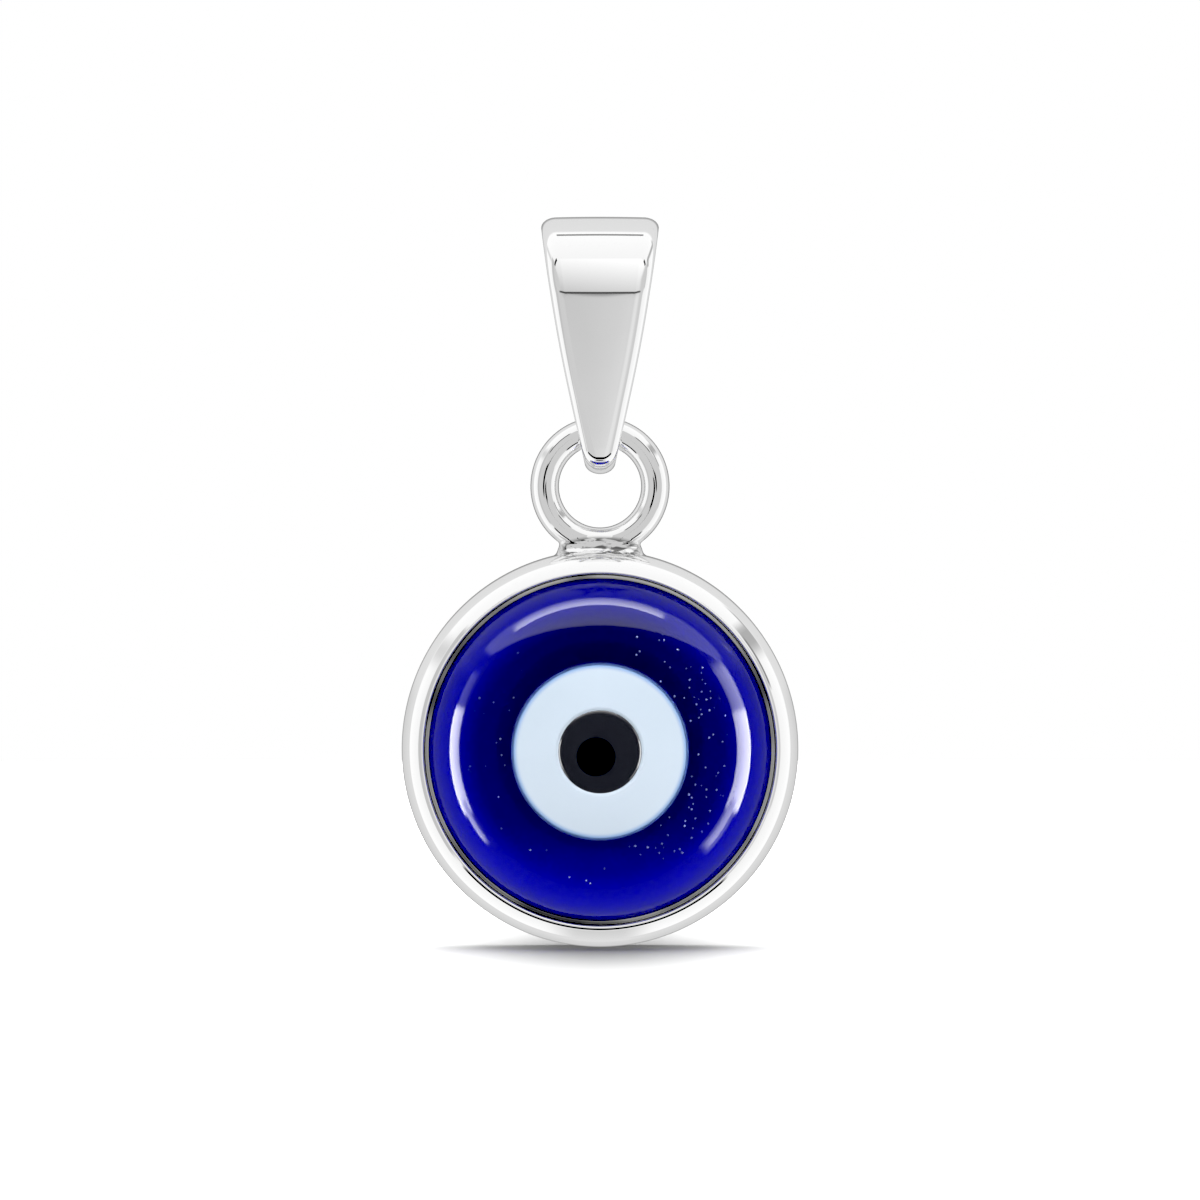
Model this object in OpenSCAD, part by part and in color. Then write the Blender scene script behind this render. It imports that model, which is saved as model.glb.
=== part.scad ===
// Evil eye pendant: a domed blue glass eye in a round silver setting, hung by its ring from a tapered bail.
// The origin is the chain seat, the top of the hollow inside the bail. +Z is up and the eye faces -Y.

/* [Bail] */
// Height of the bail from its crown to its tip
bail_h = 7.56; // [6.5:0.02:10]
// Depth of the bail from front to back at its crown
bail_depth = 3.76; // [3.2:0.02:4.6]
// Width of the band at the crown
bail_crown_w = 3.5; // [2.6:0.05:4.5]
// Width of the band at the tip
bail_tip_w = 0.7; // [0.5:0.02:1]
// How far each edge of the band bows out of a straight taper, halfway down
bail_bow = 0.15; // [0:0.01:0.3]
// Wall of the band at the crown
bail_wall = 0.42; // [0.36:0.01:0.6]
// Wall of the band beside the ring, at the tip
tip_side_wall = 0.33; // [0.3:0.01:0.5]
// Thickness of the metal under the ring, at the tip
tip_under_wall = 0.77; // [0.5:0.01:1]
// How far the outer corners of the band are rounded off across its width
band_round_w = 0.36; // [0.1:0.01:0.5]
// How far the outer corners of the band are rounded off through its wall
band_round_t = 0.2; // [0.05:0.01:0.22]
// How far the inner corners of the band are rounded off across its width
band_inner_round_w = 0.12; // [0.05:0.01:0.2]
// How far the inner corners of the band are rounded off through its wall
band_inner_round_t = 0.067; // [0.03:0.001:0.07]
// How far the middle of the band's outer face stands above its edges
outer_crown = 0.03; // [0:0.005:0.05]
// How far the middle of the band's inner face stands above its edges, so that the ring rolls on it
inner_crown = 0.145; // [0.1:0.005:0.15]

/* [Ring] */
// Outside diameter of the ring that is soldered to the setting
ring_od = 4.09; // [3.8:0.01:4.8]
// Diameter of the ring's wire
ring_wire = 0.835; // [0.7:0.005:0.95]
// How far the ring sinks into the setting
ring_sink = 0.16; // [0.05:0.01:0.4]
// Radius of the fillets between the ring and the setting
collar_fillet = 0.28; // [0.15:0.01:0.4]
// Depth of the collar between the ring and the setting
collar_depth = 0.76; // [0.5:0.01:0.8]

/* [Setting] */
// Width of the setting's rim, from its bore to its outside
rim_w = 0.68; // [0.5:0.01:1]
// Depth of the setting from its back to the front edge of its rim
bezel_depth = 2.4; // [2.1:0.02:3.2]
// How far the back of the setting lies behind the middle of the ring
bezel_back = 1.3; // [1:0.02:2]
// Radius of the rim's rounded shoulder
shoulder_r = 0.97; // [0.7:0.01:1.1]
// Radius of the rim's inner edge
lip_r = 0.07; // [0.04:0.005:0.12]
// Radius of the setting's back edge
back_edge_r = 0.45; // [0.2:0.01:0.7]
// Thickness of the setting's back plate
back_plate = 0.4; // [0.3:0.01:0.7]

/* [Glass] */
// Diameter of the blue glass
glass_d = 10; // [8:0.02:14]
// How far the edge of the glass lies below the front edge of the rim
girdle_drop = 0.08; // [0:0.01:0.4]
// Radius of the flatter middle of the dome
dome_r = 14; // [10:0.1:20]
// Radius of the dome's shoulder
dome_shoulder_r = 2.165; // [2.1:0.005:2.6]
// How far inside the edge of the glass the dome's shoulder is centred
dome_shoulder_in = 2.06; // [1.6:0.01:2.08]
// Radius of the edge round the back of the glass
glass_back_r = 0.2; // [0.1:0.01:0.4]

/* [Eye] */
// Diameter of the pale disc
white_d = 5.17; // [4:0.01:5.6]
// Thickness of the pale disc at its middle
white_t = 0.9; // [0.6:0.01:1.2]
// Diameter of the pupil
pupil_d = 2.42; // [1.4:0.01:3]
// Thickness of the pupil at its middle
pupil_t = 0.4; // [0.2:0.01:0.5]

/* [Clearances] */
// Play between the ring's wire and the inside of the bail's tip
ring_play = 0.08; // [0.06:0.005:0.14]
// Gap between the glass and the wall of the setting
glass_gap = 0.15; // [0.05:0.01:0.3]
// Gap under the glass, between the glass and the pale disc, and between the disc and the pupil
fused_gap = 0.02; // [0.01:0.005:0.04]

/* [Hidden] */
$fn = 128;

// The number of stations round the bail's crown, down each leg and round its tip
crown_steps = 26;
leg_steps = 10;
tip_steps = 16;
// The number of chords in an arc of the band's section, and of a turned piece's outline
section_steps = 5;
arc_steps = 12;

// Heights along the bail. The ring hangs in its tip, on an axis along X that passes through the wire.
bail_top = bail_wall;
crown_r = bail_depth / 2;
crown_z = bail_top - crown_r;
wire_r = ring_wire / 2;
cradle_r = wire_r + ring_play;
pin_z = bail_top - bail_h + tip_under_wall + cradle_r;
tip_r = cradle_r + tip_side_wall;
tip_z = bail_top - bail_h + tip_r;
outer_lean = asin((crown_r - tip_r) / (crown_z - tip_z));
inner_lean = asin((crown_r - bail_wall - cradle_r) / (crown_z - pin_z));

// The ring and the eye below it
ring_r = ring_od / 2;
ring_mid_r = ring_r - wire_r;
ring_z = pin_z - ring_mid_r;
glass_r = glass_d / 2;
bore_r = glass_r + glass_gap;
bezel_r = bore_r + rim_w;
eye_z = ring_z - ring_r - bezel_r + ring_sink;

// The fillets that flare the ring into the setting: where one is centred, out from the middle and below
// the ring's centre, and where it touches the ring and the setting
fillet_to_ring = ring_r + collar_fillet;
fillet_to_eye = bezel_r + collar_fillet;
ring_to_eye = ring_z - eye_z;
fillet_down = (pow(ring_to_eye, 2) + pow(fillet_to_ring, 2) - pow(fillet_to_eye, 2)) / (2 * ring_to_eye);
fillet_x = sqrt(pow(fillet_to_ring, 2) - pow(fillet_down, 2));
on_ring = [fillet_x, -fillet_down] * ring_r / fillet_to_ring;
on_bezel = [fillet_x, ring_to_eye - fillet_down] * bezel_r / fillet_to_eye - [0, ring_to_eye];

// Along the eye's own axis, where forward is positive and 0 is the plane of the ring
rim_front = bezel_depth - bezel_back;
plate_front = back_plate - bezel_back;
shoulder_at = bezel_r - shoulder_r;
lip_rise = sqrt(pow(shoulder_r - lip_r, 2) - pow(bore_r + lip_r - shoulder_at, 2));
lip_f = rim_front - lip_r;
shoulder_f = lip_f - lip_rise;
lip_angle = atan2(bore_r + lip_r - shoulder_at, lip_rise);
glass_back = plate_front + fused_gap;
girdle_f = rim_front - girdle_drop;
dome_shoulder_at = glass_r - dome_shoulder_in;
girdle_angle = asin(dome_shoulder_in / dome_shoulder_r);
dome_shoulder_f = girdle_f - dome_shoulder_r * cos(girdle_angle);
dome_angle = asin(dome_shoulder_at / (dome_r - dome_shoulder_r));
dome_f = dome_shoulder_f - (dome_r - dome_shoulder_r) * cos(dome_angle);
dome_top = dome_f + dome_r;
white_r = white_d / 2;
pupil_r = pupil_d / 2;
white_back = dome_top - white_t;
pupil_back = dome_top - pupil_t;

function lerp(a, b, t) = a + (b - a) * t;

// A point on a circle, at an angle counted from +Y towards +Z
function on_circle(centre, r, a) = centre + r * [cos(a), sin(a)];

// The points of an arc whose angles are counted from the eye's axis outward, as [radius, forward]
function turned_arc(centre, r, from, to) =
    [for (i = [0 : arc_steps]) let (a = lerp(from, to, i / arc_steps)) centre + r * [sin(a), cos(a)]];

// The stations round one end of the bail: each is an outer and an inner point, as [depth, height].
// Where the end is the wider one, its arcs pass half a turn by twice the legs' lean.
function bail_end(outer_at, outer_r, inner_at, inner_r, first, wider, steps) =
    [for (i = [0 : steps]) let (t = i / steps)
        [on_circle([0, outer_at], outer_r, first + 180 * t + wider * outer_lean * (2 * t - 1)),
         on_circle([0, inner_at], inner_r, first + 180 * t + wider * inner_lean * (2 * t - 1))]];

// The stations between two others, down a straight leg
function bail_leg(a, b) =
    [for (i = [1 : leg_steps - 1]) let (t = i / leg_steps) [lerp(a[0], b[0], t), lerp(a[1], b[1], t)]];

// Half the width of the band at a height
function band_half_w(z) =
    let (s = (bail_top - z) / bail_h)
    lerp(bail_crown_w, bail_tip_w, s) / 2 + 4 * bail_bow * s * (1 - s);

// Half of the band's section, as [distance from the middle, depth below the outer face]
function half_section(w, wall) =
    let (round_w = min(band_round_w, w / 2),
         inner_w = min(band_inner_round_w, w / 3),
         corner_e = outer_crown * pow((w - round_w) / w, 2),
         inner_e = wall - inner_crown * pow((w - inner_w) / w, 2))
    concat(
        [[(w - round_w) / 2, corner_e / 4]],
        [for (i = [0 : section_steps]) let (a = 90 * i / section_steps)
            [w - round_w * (1 - sin(a)), corner_e + band_round_t * (1 - cos(a))]],
        [for (i = [0 : 2]) let (a = 45 * i)
            [w - inner_w * (1 - cos(a)), inner_e - band_inner_round_t * (1 - sin(a))]],
        [for (s = [2 / 3, 1 / 3])
            [w * s, wall - inner_crown * s * s]]);

// The band's whole section, from the middle of its outer face round to the middle of its inner face and back
function band_section(w, wall) =
    let (half = half_section(w, wall), n = len(half))
    concat([[0, 0]], half, [[0, wall]], [for (i = [n - 1 : -1 : 0]) [-half[i][0], half[i][1]]]);

// A station's points in space
function station_ring(s) =
    let (wall = norm(s[1] - s[0]), inward = (s[1] - s[0]) / wall, mid = (s[0] + s[1]) / 2)
    [for (p = band_section(band_half_w(mid[1]), wall)) let (q = s[0] + inward * p[1]) [p[0], q[0], q[1]]];

// The band is one closed loop of sections: over the crown, down a leg, round the tip and up the other leg
module bail() {
    crown = bail_end(crown_z, crown_r, crown_z, crown_r - bail_wall, 0, 1, crown_steps);
    tip = bail_end(tip_z, tip_r, pin_z, cradle_r, 180, -1, tip_steps);
    stations = concat(crown, bail_leg(crown[crown_steps], tip[0]),
                      tip, bail_leg(tip[tip_steps], crown[0]));
    rings = [for (s = stations) station_ring(s)];
    n = len(rings);
    m = len(rings[0]);
    color("silver")
        polyhedron(
            points = [for (r = rings) each r],
            faces = [for (i = [0 : n - 1], k = [0 : m - 1])
                [i * m + k, i * m + (k + 1) % m, ((i + 1) % n) * m + (k + 1) % m, ((i + 1) % n) * m + k]],
            convexity = 6);
}

// What is turned about the eye's axis
module on_eye_axis() {
    translate([0, 0, eye_z]) rotate([90, 0, 0]) rotate_extrude() children();
}

// The cup that holds the glass, with a rounded rim and a plain flat back
module bezel() {
    on_eye_axis()
        polygon(concat(
            [[0, plate_front], [0, -bezel_back]],
            turned_arc([bezel_r - back_edge_r, back_edge_r - bezel_back], back_edge_r, 180, 90),
            turned_arc([shoulder_at, shoulder_f], shoulder_r, 90, lip_angle),
            turned_arc([bore_r + lip_r, lip_f], lip_r, lip_angle, -90),
            [[bore_r, plate_front]]));
}

module ring() {
    translate([0, 0, ring_z]) rotate([90, 0, 0])
        rotate_extrude() translate([ring_mid_r, 0]) circle(wire_r);
}

// The collar's outline from the front, with its fillets' arcs
module collar_front() {
    difference() {
        polygon([[-on_ring[0], on_ring[1]], on_ring, on_bezel, [-on_bezel[0], on_bezel[1]]]);
        for (side = [-1, 1])
            translate([side * fillet_x, -fillet_down]) circle(collar_fillet);
    }
}

// The collar's outline from the side, which flares onto the top of the setting
module collar_side() {
    neck = collar_depth / 2;
    foot = neck + collar_fillet;
    top_z = bezel_r - ring_to_eye;
    difference() {
        polygon([[-neck, on_ring[1]], [neck, on_ring[1]], [neck, top_z + collar_fillet], [foot, top_z],
                 [foot, on_bezel[1]], [-foot, on_bezel[1]], [-foot, top_z], [-neck, top_z + collar_fillet]]);
        for (side = [-1, 1])
            translate([side * foot, top_z + collar_fillet]) circle(collar_fillet);
    }
}

module collar() {
    reach = on_bezel[0] + collar_fillet;
    translate([0, 0, ring_z]) intersection() {
        rotate([90, 0, 0]) translate([0, 0, -reach]) linear_extrude(2 * reach) collar_front();
        rotate([90, 0, 90]) translate([0, 0, -reach]) linear_extrude(2 * reach) collar_side();
    }
}

module setting() {
    color("silver") union() {
        bezel();
        ring();
        collar();
    }
}

module blue_glass() {
    recess_r = white_r + fused_gap;
    recess_angle = asin(recess_r / dome_r);
    color("mediumblue") on_eye_axis()
        polygon(concat(
            [[0, white_back - fused_gap], [0, glass_back]],
            turned_arc([glass_r - glass_back_r, glass_back + glass_back_r], glass_back_r, 180, 90),
            turned_arc([dome_shoulder_at, dome_shoulder_f], dome_shoulder_r, girdle_angle, dome_angle),
            turned_arc([0, dome_f], dome_r, dome_angle, recess_angle),
            [[recess_r, white_back - fused_gap]]));
}

// A disc that is set flush in the dome, with a recess in its own middle
module set_disc(r, back, recess_r, recess_back) {
    edge_angle = asin(r / dome_r);
    recess_angle = asin(recess_r / dome_r);
    recess = recess_r > 0 ? [[recess_r, recess_back]] : [];
    on_eye_axis()
        polygon(concat(
            [[0, recess_r > 0 ? recess_back : dome_top], [0, back], [r, back]],
            turned_arc([0, dome_f], dome_r, edge_angle, recess_angle),
            recess));
}

module eye_white() {
    color("aliceblue") set_disc(white_r, white_back, pupil_r + fused_gap, pupil_back - fused_gap);
}

module eye_pupil() {
    color("black") set_disc(pupil_r, pupil_back, 0, 0);
}

bail();
setting();
blue_glass();
eye_white();
eye_pupil();
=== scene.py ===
# Evil eye pendant: a domed cobalt glass eye in polished silver, on a pale floor in a soft light tent.
# Lengths are in millimetres until a mesh, a light or the camera is made, and Blender's are in metres.
import math
import bpy
import numpy as np
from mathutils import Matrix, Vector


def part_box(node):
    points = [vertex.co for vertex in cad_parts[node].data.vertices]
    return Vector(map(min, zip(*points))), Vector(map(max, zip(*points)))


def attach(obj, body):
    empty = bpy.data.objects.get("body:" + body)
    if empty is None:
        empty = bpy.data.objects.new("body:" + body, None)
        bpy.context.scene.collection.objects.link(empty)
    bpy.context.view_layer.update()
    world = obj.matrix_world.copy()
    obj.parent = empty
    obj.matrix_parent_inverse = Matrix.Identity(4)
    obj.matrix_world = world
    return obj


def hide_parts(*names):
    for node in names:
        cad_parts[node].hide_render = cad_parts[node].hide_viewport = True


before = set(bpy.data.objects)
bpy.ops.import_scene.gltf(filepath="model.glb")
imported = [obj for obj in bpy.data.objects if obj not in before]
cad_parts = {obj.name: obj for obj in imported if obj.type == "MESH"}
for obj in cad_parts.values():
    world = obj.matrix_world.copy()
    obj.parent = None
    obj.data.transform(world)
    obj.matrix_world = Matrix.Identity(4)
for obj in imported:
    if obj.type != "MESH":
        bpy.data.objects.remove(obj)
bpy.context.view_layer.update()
MM = 0.001


def cad_box(node):
    """The lowest and highest corners of a CAD node, in millimetres."""
    low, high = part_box(node)
    return np.array(low) / MM, np.array(high) / MM


# The bail: a band that tapers from its crown to its tip
BAIL_LOW, BAIL_HIGH = cad_box("bail")
BAIL_TOP = BAIL_HIGH[2]
BAIL_H = BAIL_HIGH[2] - BAIL_LOW[2]
CROWN_R = (BAIL_HIGH[1] - BAIL_LOW[1]) / 2
CROWN_W = 3.5
TIP_W = 0.7
BOW = 0.15
BAIL_WALL = 0.42
TIP_SIDE_WALL = 0.33
TIP_UNDER_WALL = 0.77
BAND_ROUND_W = 0.45
BAND_ROUND_T = 0.34
BAND_INNER_ROUND_W = 0.12
BAND_INNER_ROUND_T = 0.067
OUTER_CROWN = 0.03
CROWN_INNER_CROWN = 0.03
TIP_INNER_CROWN = 0.145
# The inner face has its full crown from 1 / 1.4 of the way down
INNER_CROWN_RATE = 1.4

# The ring and the setting below it
SETTING_LOW, SETTING_HIGH = cad_box("setting")
RING_R = 2.045
WIRE_R = 0.4175
CRADLE_R = WIRE_R + 0.08
RING_TO_WIRE_R = RING_R - WIRE_R
RING_Z = SETTING_HIGH[2] - RING_R
BEZEL_R = SETTING_HIGH[0]
EYE_Z = SETTING_LOW[2] + BEZEL_R
RIM_FRONT = -SETTING_LOW[1]
BEZEL_BACK = SETTING_HIGH[1]
RIM_W = 0.68
BORE_R = BEZEL_R - RIM_W
SHOULDER_R = 0.97
LIP_R = 0.07
BACK_EDGE_R = 0.45
BACK_DOME = 0.06
CUP_FLOOR = 0.4
SEAT_FRONT = CUP_FLOOR - BEZEL_BACK
BEAD_R = 0.095

# The eye: blue glass, with a pale disc and a pupil set flush in its dome
GLASS_HIGH = cad_box("blue_glass")[1]
GLASS_R = GLASS_HIGH[0]
GLASS_BACK = -GLASS_HIGH[1]
DOME_TOP = -cad_box("eye_pupil")[0][1]
GIRDLE_FRONT = RIM_FRONT - 0.08
GIRDLE_ROUND = 0.07
DOME_R = 14.0
DOME_SHOULDER_R = 2.165
DOME_SHOULDER_IN = 2.06
WHITE_R = cad_box("eye_white")[1][0]
WHITE_BACK = -cad_box("eye_white")[1][1]
PUPIL_R = cad_box("eye_pupil")[1][0]
PUPIL_BACK = -cad_box("eye_pupil")[1][1]

# The seeds: name, inner and outer radius, clock angles, specks per square millimetre, pick
SEED_PATCHES = (
    ("glass_seeds_right", 2.66, 3.9, (15, 165), 8.5, 4),
    ("glass_seeds_left", 2.7, 3.9, (175, 350), 1.6, 7),
)
SEED_DEPTH = 0.055
SEED_R = 0.037

# The collar between the ring and the setting, and its lumpy solder
SADDLE_Z = RING_Z - 2.06
SADDLE_HALF = (1.24, 0.33, 0.42)
SADDLE_ROUND = 0.26
SADDLE_BLEND = 0.13
SETTING_BLEND = 0.22
# How far the skin goes down over the cup, out from the ring and to the front and back, and how deep it
# is sunk into the cup
SKIN_DOWN = 0.45
SKIN_OUT = 0.5
SKIN_HALF_DEEP = 0.96
SKIN_STEP = 0.0275
SUNK = 0.004
# The ripple in the solder's skin: how high it is, how fast it turns across and down, in radians per
# millimetre, and how far and fast its rows bend
RIPPLE_HIGH = 0.014
RIPPLE_ACROSS = 7.5
RIPPLE_DOWN = 16
RIPPLE_BEND = 1.2
RIPPLE_BEND_ACROSS = 5
# The lumps on it, within an ellipse round the joint
SOLDER_LUMP = 0.026
JOINT_Z = RING_Z - 1.86
JOINT_HALF = (1.3, 0.42)

# Finishes: how rough the polish is, how far apart the marks in the metal are, and where the painted shade
# on the cup's floor gives way to its painted pale edge
# turns pale
POLISH = 0.035
WHEEL_WAVE = 1.4
WHEEL_WAVE_HIGH = 0.0012
LUMP_APART = 0.23
TARNISH_APART = 2.6
CUP_PAINTED_SHADE_DOWN = 0.06
CUP_PAINTED_SHADE_SPAN = (3.2, 3.74)

FLOOR_Z = SETTING_LOW[2] - 0.01


# Small helpers

def add(tree, kind, inputs=None, **settings):
    """Adds a node with its settings, and sets or links its inputs."""
    node = tree.nodes.new(kind)
    for name, value in settings.items():
        setattr(node, name, value)
    for socket, value in (inputs or {}).items():
        if isinstance(value, bpy.types.NodeSocket):
            tree.links.new(value, node.inputs[socket])
        else:
            node.inputs[socket].default_value = value
    return node


def colour(hexadecimal):
    """A linear colour with alpha from an sRGB hex value."""
    parts = [int(hexadecimal[i:i + 2], 16) / 255 for i in (1, 3, 5)]
    return [p / 12.92 if p <= 0.04045 else ((p + 0.055) / 1.055) ** 2.4 for p in parts] + [1]


def new_material(name):
    """A material with its node tree emptied but for the output, which is returned with it."""
    made = bpy.data.materials.new(name)
    made.use_nodes = True
    made.node_tree.nodes.clear()
    return made, made.node_tree, made.node_tree.nodes.new("ShaderNodeOutputMaterial")


def mesh_piece(name, points, faces, material):
    """A smooth-shaded object from points in millimetres and a list of faces."""
    mesh = bpy.data.meshes.new(name)
    mesh.from_pydata((np.asarray(points) * MM).tolist(), [], faces)
    mesh.materials.append(material)
    mesh.shade_smooth()
    piece = bpy.data.objects.new(name, mesh)
    bpy.context.scene.collection.objects.link(piece)
    return piece


def loop_faces(rings, around):
    """The quads between neighbouring rings of points, where the rings and the points close round."""
    i, k = np.meshgrid(np.arange(rings), np.arange(around), indexing="ij")
    after, beside = (i + 1) % rings, (k + 1) % around
    quads = [i * around + k, after * around + k, after * around + beside, i * around + beside]
    return np.stack(quads, -1).reshape(-1, 4).tolist()


def from_axis(tree, height_shift=0.0):
    """A texture value: how far a point is from the eye's axis, in metres."""
    place = add(tree, "ShaderNodeTexCoord").outputs["Object"]
    centred = add(tree, "ShaderNodeMapping", {
        "Vector": place, "Location": (0, 0, (height_shift - EYE_Z) * MM), "Scale": (1, 0, 1)})
    return add(tree, "ShaderNodeVectorMath", {0: centred.outputs[0]}, operation="LENGTH").outputs["Value"]


def fade(tree, value, start, end, first, last):
    """A colour that passes smoothly from the first to the last between two values in millimetres. Each
    is a hex value or another colour's output."""
    share = add(tree, "ShaderNodeMapRange", {"Value": value, "From Min": start * MM, "From Max": end * MM},
                interpolation_type="SMOOTHSTEP").outputs[0]
    first, last = [colour(tone) if isinstance(tone, str) else tone for tone in (first, last)]
    mix = add(tree, "ShaderNodeMix", {"Factor": share, "A": first, "B": last}, data_type="RGBA")
    return mix.outputs["Result"]


def height_of(tree):
    """A texture value: how high a point is, in metres."""
    place = add(tree, "ShaderNodeTexCoord").outputs["Object"]
    return add(tree, "ShaderNodeSeparateXYZ", {0: place}).outputs["Z"]


# Materials

def polished_silver():
    """Sterling silver, cast and buffed to a mirror: bright and neutral, with a breath of waviness from the
    polishing wheel that keeps its reflections from being ruler-straight."""
    made, tree, out = new_material("polished_sterling_silver")
    silver = add(tree, "ShaderNodeBsdfPrincipled", {
        "Base Color": colour("#F4F4F4"), "Metallic": 1.0, "Roughness": POLISH, "Normal": wheel_waves(tree)})
    tree.links.new(silver.outputs["BSDF"], out.inputs["Surface"])
    return made


def wheel_waves(tree):
    """A normal with the faint waviness that a polishing wheel leaves."""
    place = add(tree, "ShaderNodeTexCoord").outputs["Object"]
    wheel_marks = add(tree, "ShaderNodeTexNoise", {
        "Vector": place, "Scale": 1 / (WHEEL_WAVE * MM), "Detail": 1.0})
    wave = add(tree, "ShaderNodeBump", {
        "Height": wheel_marks.outputs["Fac"], "Distance": WHEEL_WAVE_HIGH * MM, "Strength": 1.0})
    return wave.outputs["Normal"]


def soldered_silver():
    """The ring's silver, polished too. Round its joint with the setting the solder has flowed: it is lumpy
    there, and greyer in the dips that the polishing wheel doesn't reach."""
    made, tree, out = new_material("soldered_sterling_silver")
    place = add(tree, "ShaderNodeTexCoord").outputs["Object"]
    half_wide, half_high = JOINT_HALF
    lumps_from, lumps_full = 1.05, 0.7
    dip_from, dip_full = 0.5, 0.36
    drawn_sideways = (0.6, 1, 1.7)
    by_joint = add(tree, "ShaderNodeMapping", {
        "Vector": place, "Location": (0, 0, -JOINT_Z / half_high),
        "Scale": (1 / (half_wide * MM), 0, 1 / (half_high * MM))}).outputs[0]
    away = add(tree, "ShaderNodeVectorMath", {0: by_joint}, operation="LENGTH").outputs["Value"]
    near = add(tree, "ShaderNodeMapRange", {"Value": away, "From Min": lumps_from, "From Max": lumps_full},
               interpolation_type="SMOOTHSTEP").outputs[0]
    drawn = add(tree, "ShaderNodeMapping", {"Vector": place, "Scale": drawn_sideways}).outputs[0]
    lumps = add(tree, "ShaderNodeTexNoise", {
        "Vector": drawn, "Scale": 1 / (LUMP_APART * MM), "Detail": 1.5}).outputs["Fac"]
    height = add(tree, "ShaderNodeMath", {0: lumps, 1: near}, operation="MULTIPLY").outputs[0]
    lumpy = add(tree, "ShaderNodeBump", {
        "Height": height, "Distance": SOLDER_LUMP * MM, "Strength": 1.0, "Normal": wheel_waves(tree)})
    dip = add(tree, "ShaderNodeMapRange", {"Value": height, "From Min": dip_from, "From Max": dip_full},
              interpolation_type="SMOOTHSTEP").outputs[0]
    grime = add(tree, "ShaderNodeMath", {0: dip, 1: near}, operation="MULTIPLY").outputs[0]
    tone = add(tree, "ShaderNodeMix", {"Factor": grime, "A": colour("#F4F4F4"), "B": colour("#808080")},
               data_type="RGBA").outputs["Result"]
    silver = add(tree, "ShaderNodeBsdfPrincipled", {
        "Base Color": tone, "Metallic": 1.0, "Roughness": POLISH, "Normal": lumpy.outputs["Normal"]})
    tree.links.new(silver.outputs["BSDF"], out.inputs["Surface"])
    return made


def satin_cup_floor_painted_shade():
    """The floor of the cup, left as cast to a satin under the glass. Its colour is painted shade: grey in
    the middle round the disc, darkest at the top and lighter low down, as if light fell through the dome
    from above, and painted pale round its edge, a painted light that stands in for what it throws back up
    through the blue."""
    made, tree, out = new_material("satin_sterling_silver")
    # Painted shade: darker high up and in the middle; painted light: pale round the edge
    low = fade(tree, height_of(tree), EYE_Z - 3.6, EYE_Z - 1.8, "#B4B4B4", "#828282")
    middle = fade(tree, height_of(tree), EYE_Z + 1, EYE_Z + 4, low, "#585858")
    tone = fade(tree, from_axis(tree, CUP_PAINTED_SHADE_DOWN), *CUP_PAINTED_SHADE_SPAN, middle, "#FFFFFF")
    silver = add(tree, "ShaderNodeBsdfPrincipled", {
        "Base Color": tone, "Metallic": 1.0, "Roughness": 0.45})
    tree.links.new(silver.outputs["BSDF"], out.inputs["Surface"])
    return made


def bead_silver_painted_shade():
    """The edge that was burnished down on to the glass: painted grey for the shade it sits in between the
    rim and the glass, and darker where polish stays in it.
    """
    made, tree, out = new_material("tarnished_sterling_silver")
    place = add(tree, "ShaderNodeTexCoord").outputs["Object"]
    caught = add(tree, "ShaderNodeTexNoise", {
        "Vector": place, "Scale": 1 / (TARNISH_APART * MM), "Detail": 1.0}).outputs["Fac"]
    share = add(tree, "ShaderNodeMapRange", {"Value": caught, "From Min": 0.4, "From Max": 0.6},
                interpolation_type="SMOOTHSTEP").outputs[0]
    # Both greys are painted shade; the noise mottles between them at random
    tone = add(tree, "ShaderNodeMix", {"Factor": share, "A": colour("#A4A4A2"), "B": colour("#5E5E5F")},
               data_type="RGBA").outputs["Result"]
    silver = add(tree, "ShaderNodeBsdfPrincipled", {"Base Color": tone, "Metallic": 1.0, "Roughness": 0.16})
    tree.links.new(silver.outputs["BSDF"], out.inputs["Surface"])
    return made


def cobalt_glass():
    """Cobalt blue soda glass, fire polished: it soaks up red and green within a millimetre and lets the
    deepest blue through, so that it is navy where it is thick and brighter blue near its edge."""
    made, tree, out = new_material("cobalt_blue_glass")
    glass = add(tree, "ShaderNodeBsdfPrincipled", {
        "Base Color": colour("#FFFFFF"), "Roughness": 0.0, "IOR": 1.52, "Transmission Weight": 1.0})
    dye = add(tree, "ShaderNodeVolumeAbsorption", {"Color": (0, 0, 0.988, 1), "Density": 2300.0})
    tree.links.new(glass.outputs["BSDF"], out.inputs["Surface"])
    tree.links.new(dye.outputs["Volume"], out.inputs["Volume"])
    return made


def opal_glass():
    """Pale blue opal glass, fused into the dome and polished with it: milky, painted a little lighter low
    down and darker high up to even out the light that falls on it from above, and bluer and darker towards
    its rim."""
    made, tree, out = new_material("pale_blue_opal_glass")
    # Painted light and shade: the body is lighter at the bottom and darker at the top
    body = fade(tree, height_of(tree), EYE_Z - 1.9, EYE_Z + 1.9, "#ABB6C1", "#9EA9B4")
    milk = fade(tree, from_axis(tree), WHITE_R - 0.22, WHITE_R - 0.03, body, "#6684B0")
    opal = add(tree, "ShaderNodeBsdfPrincipled", {"Base Color": milk, "Roughness": 0.06, "IOR": 1.52})
    tree.links.new(opal.outputs["BSDF"], out.inputs["Surface"])
    return made


def black_glass():
    """Black glass, fused into the opal: it looks very dark grey, and mirrors what is in front of it."""
    made, tree, out = new_material("black_glass")
    jet = add(tree, "ShaderNodeBsdfPrincipled", {
        "Base Color": colour("#14151A"), "Roughness": 0.05, "IOR": 1.52})
    tree.links.new(jet.outputs["BSDF"], out.inputs["Surface"])
    return made


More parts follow.
